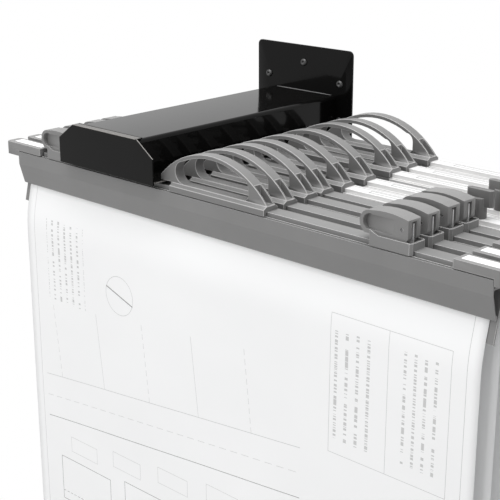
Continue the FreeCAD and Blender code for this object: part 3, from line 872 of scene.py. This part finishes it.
# width across X and length down the hanging line, with a slow ripple that grows towards the free edge
def sheetPoints(k):
    random = np.random.default_rng(ripple["seed"] + k)
    slowPhase, quickPhase = random.uniform(0, ripple["phase"], 2)
    slowHeight, slowWaves = ripple["slow"]
    quickHeight, quickWaves = ripple["quick"]
    u = np.linspace(0, 1, sheetSize["columns"])[None, :]
    s = np.linspace(0, sheetSize["height"], sheetSize["rows"])[:, None]
    y, z = hangLine(s)
    free = np.clip((s - ripple["from"]) / (sheetSize["height"] - ripple["from"]), 0, 1)
    wave = slowHeight * np.sin(2 * np.pi * slowWaves * u + slowPhase)
    wave = wave + quickHeight * np.sin(2 * np.pi * quickWaves * u + quickPhase + ripple["swing"] * free)
    y = y - ripple["inset"] + wave * free ** ripple["growth"] - ripple["drift"] * free
    x = (u - 0.5) * sheetSize["width"] + clampLength / 2 + 0 * s
    points = np.stack([x, y, z + 0 * u], axis=-1)
    flat = np.stack([u + 0 * s, 1 - s / sheetSize["height"] + 0 * u], axis=-1)
    return points + clampOrigin(k), flat


# places on the sheet in millimetres from its lower left corner; a line is its width, then its dash
plan = {
    "ink": 118, "inkShare": 0.85, "paleInk": 176, "paleShare": 0.7, "border": 18.0, "boxLine": 0.8,
    "street": ((30.0, 262.0), (575.0, 322.0)), "streetWidth": 74.0, "kerbLine": 1.0, "farKerbLine": 0.9,
    "centreLine": (0.7, 22.0),
    "plots": 5, "plotFrom": 40.0, "plotPitch": 104.0, "plotRun": (-14.0, 120.0), "plotLine": 0.7,
    "plotDash": 14.0, "shed": (46.0, -40.0), "shedSize": (64.0, 26.0),
    "houses": (((118.0, 84.0), (122.0, 78.0)), ((262.0, 92.0), (96.0, 84.0))), "houseLine": 1.0,
    "porch": ((57.0, 60.0), (179.0, 60.0)), "porchLine": (0.9, 9.0),
    "north": (217.0, 442.0), "northRadius": 30.0,
    "needle": ((188.0, 452.0), (246.0, 432.0)), "needleLine": 1.8,
    "boxes": (
        ((712.0, 430.0), (180.0, 190.0)), ((642.0, 190.0), (250.0, 48.0)), ((770.0, 170.0), (56.0, 250.0)),
    ),
    "divider": ((712.0, 335.0), (712.0, 525.0)),
    "entries": (
        ((92.0, 462.0), (88.0, 130.0), 15.0), ((662.0, 430.0), (70.0, 150.0), 17.0),
        ((757.0, 432.0), (62.0, 150.0), 15.0), ((770.0, 170.0), (30.0, 210.0), 14.0),
    ),
}


# the street's line moved down the sheet by a distance
def streetLine(down):
    (x0, y0), (x1, y1) = plan["street"]
    return (x0, y0 - down), (x1, y1 - down)


# a made-up street plan: kerbs, plots, buildings, a title block of boxes with ruled entries
def planInk(t, x, y):
    width, height = sheetSize["width"], sheetSize["height"]
    (x0, y0), (x1, y1) = plan["street"]
    border = (width - 2 * plan["border"], height - 2 * plan["border"])
    dark = [
        stroke(x, y, streetLine(plan["streetWidth"]), plan["kerbLine"]),
        stroke(x, y, plan["needle"], plan["needleLine"]),
        stroke(x, y, plan["porch"], *plan["porchLine"]),
    ]
    dark += [outline(x, y, middle, size, plan["houseLine"]) for middle, size in plan["houses"]]
    pale = [
        outline(x, y, (width / 2, height / 2), border, plan["boxLine"]),
        stroke(x, y, plan["street"], plan["farKerbLine"]),
        stroke(x, y, streetLine(plan["streetWidth"] / 2), *plan["centreLine"]),
        ring(x, y, plan["north"], plan["northRadius"], plan["boxLine"]),
        stroke(x, y, plan["divider"], plan["boxLine"]),
    ]
    pale += [outline(x, y, middle, size, plan["boxLine"]) for middle, size in plan["boxes"]]
    pale += [entries(t, x, y, middle, size, pitch) for middle, size, pitch in plan["entries"]]
    for i in range(plan["plots"]):
        foot = x0 + plan["plotFrom"] + i * plan["plotPitch"]
        kerb = y0 + (y1 - y0) / (x1 - x0) * (foot - x0)
        ends = (foot, kerb), (foot + plan["plotRun"][0], kerb + plan["plotRun"][1])
        shed = (foot + plan["shed"][0], kerb - plan["streetWidth"] + plan["shed"][1])
        pale.append(stroke(x, y, ends, plan["plotLine"], 0.0 if i % 2 else plan["plotDash"]))
        pale.append(outline(x, y, shed, plan["shedSize"], plan["plotLine"]))
    return dark, pale


# scales of noise are here in waves across the sheet
paper = {
    "tones": (240, 247), "warm": -0.004, "cloud": 4.0, "rough": 0.62,
    "fibre": 900.0, "fibreBump": 0.08, "fibreDepth": 0.0001,
}


# drawing paper: fibre, slow clouds of tone, and on the front sheet the plan's ink
def drawingPaper(k):
    t = newMaterial(f"drawingPaper{k}")
    flat = t.flat()
    fibre = t.noise(flat, paper["fibre"])
    cloud = t.noise(flat, paper["cloud"], detail=2.0)
    dark, light = paper["tones"]
    colour = t.mix(cloud, grey(dark, paper["warm"]), grey(light, paper["warm"]))
    if k == 1:
        x, y, _ = t.split(flat)
        bold, faint = planInk(t, x * sheetSize["width"], y * sheetSize["height"])
        colour = t.mix(strongest(faint) * plan["paleShare"], colour, grey(plan["paleInk"]))
        colour = t.mix(strongest(bold) * plan["inkShare"], colour, grey(plan["ink"]))
    return t.finish({
        "Base Color": colour,
        "Roughness": paper["rough"],
        "Normal": t.bump(fibre, paper["fibreBump"], paper["fibreDepth"]),
    })


for k in clampNumbers:
    points, flat = sheetPoints(k)
    sheet = gridObject(f"drawingSheet{k}", points, drawingPaper(k), flat)
    solid = sheet.modifiers.new("thickness", "SOLIDIFY")
    solid.thickness = sheetSize["thickness"] * mm
    solid.offset = 0.0
    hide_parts(f"clamp_{k}_sheets")
    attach(sheet, f"clamp_{k}")
print("sheets hung")


studio = {"floorGap": 0.3, "floorHalf": 6.0, "floorTone": 0.7, "floorRough": 0.9, "worldLight": 0.6}


# mixes a white glow over a shader for camera, glossy and transmission rays
def whiteToCamera(t, plain, glow, target):
    light = t.add("ShaderNodeLightPath", output="Is Camera Ray")
    seen = light.math("MAXIMUM", light.output("Is Glossy Ray"))
    seen = seen.math("MAXIMUM", light.output("Is Transmission Ray"))
    blend = t.add("ShaderNodeMixShader", values={0: seen, 1: plain, 2: glow})
    t.links.new(blend.socket, target)


floorZ = cadBox[0][2] - studio["floorGap"]
half = studio["floorHalf"]
floorMesh = bpy.data.meshes.new("floor")
floorCorners = [(-half, -half, floorZ), (half, -half, floorZ), (half, half, floorZ), (-half, half, floorZ)]
floorMesh.from_pydata(floorCorners, [], [(0, 1, 2, 3)])
floor = addObject("floor", floorMesh)
t = newMaterial("floorWhite")
floorColour = (studio["floorTone"],) * 3
floorMesh.materials.append(t.finish({"Base Color": floorColour, "Roughness": studio["floorRough"]}))
floorShader = Wire(t, t.nodes["Principled BSDF"].outputs[0])
whiteToCamera(t, floorShader, t.add("ShaderNodeEmission"), t.nodes["Material Output"].inputs[0])

world = bpy.data.worlds.new("studioWorld")
bpy.context.scene.world = world
w = Tree(world)
sky = w.nodes["Background"]
w.put(sky.inputs["Color"], (1, 1, 1))
w.put(sky.inputs["Strength"], studio["worldLight"])
backdrop = w.add("ShaderNodeBackground", values={"Color": (1, 1, 1)})
whiteToCamera(w, Wire(w, sky.outputs[0]), backdrop, w.nodes["World Output"].inputs[0])

lamps = {
    "topSoftbox": {"place": (0.3, -0.5, 2.6), "aim": (0.2, -0.2, 0.0), "size": (2.4, 2.4), "power": 96},
    "frontSoftbox": {"place": (-0.6, -3.0, 1.4), "aim": (0.2, -0.2, -0.2), "size": (1.8, 1.8), "power": 22},
}


# a rectangular lamp at a place, turned to what it lights
def areaLamp(name, place, aim, size, power):
    lamp = bpy.data.lights.new(name, "AREA")
    lamp.shape = "RECTANGLE"
    lamp.size, lamp.size_y = size
    lamp.energy = power
    obj = addObject(name, lamp)
    obj.location = place
    obj.rotation_euler = (Vector(aim) - Vector(place)).to_track_quat("-Z", "Y").to_euler()


for name, lamp in lamps.items():
    areaLamp(name, **lamp)

# in degrees: yaw to the left of straight at the wall, pitch downwards, roll about the view
cameraSettings = {
    "place": (1.3087, -1.5035, 0.3948), "yaw": 43.654, "pitch": 18.389, "roll": -0.137, "lens": 87.93,
    "sensor": 36.0, "clipEnd": 50,
}
camera = bpy.data.cameras.new("camera")
camera.lens = cameraSettings["lens"]
camera.sensor_width = cameraSettings["sensor"]
camera.sensor_fit = "HORIZONTAL"
camera.clip_end = cameraSettings["clipEnd"]
cameraObject = addObject("camera", camera)
yaw = math.radians(cameraSettings["yaw"])
pitch = math.radians(cameraSettings["pitch"])
forward = Vector((-math.sin(yaw) * math.cos(pitch), math.cos(yaw) * math.cos(pitch), -math.sin(pitch)))
right = Vector((math.cos(yaw), math.sin(yaw), 0))
turn = Matrix((right, right.cross(forward), -forward)).transposed().to_4x4()
roll = Matrix.Rotation(math.radians(cameraSettings["roll"]), 4, "Z")
cameraObject.matrix_world = Matrix.Translation(cameraSettings["place"]) @ turn @ roll
bpy.context.scene.camera = cameraObject
bpy.context.scene.view_settings.view_transform = "Standard"


print("scene ready")
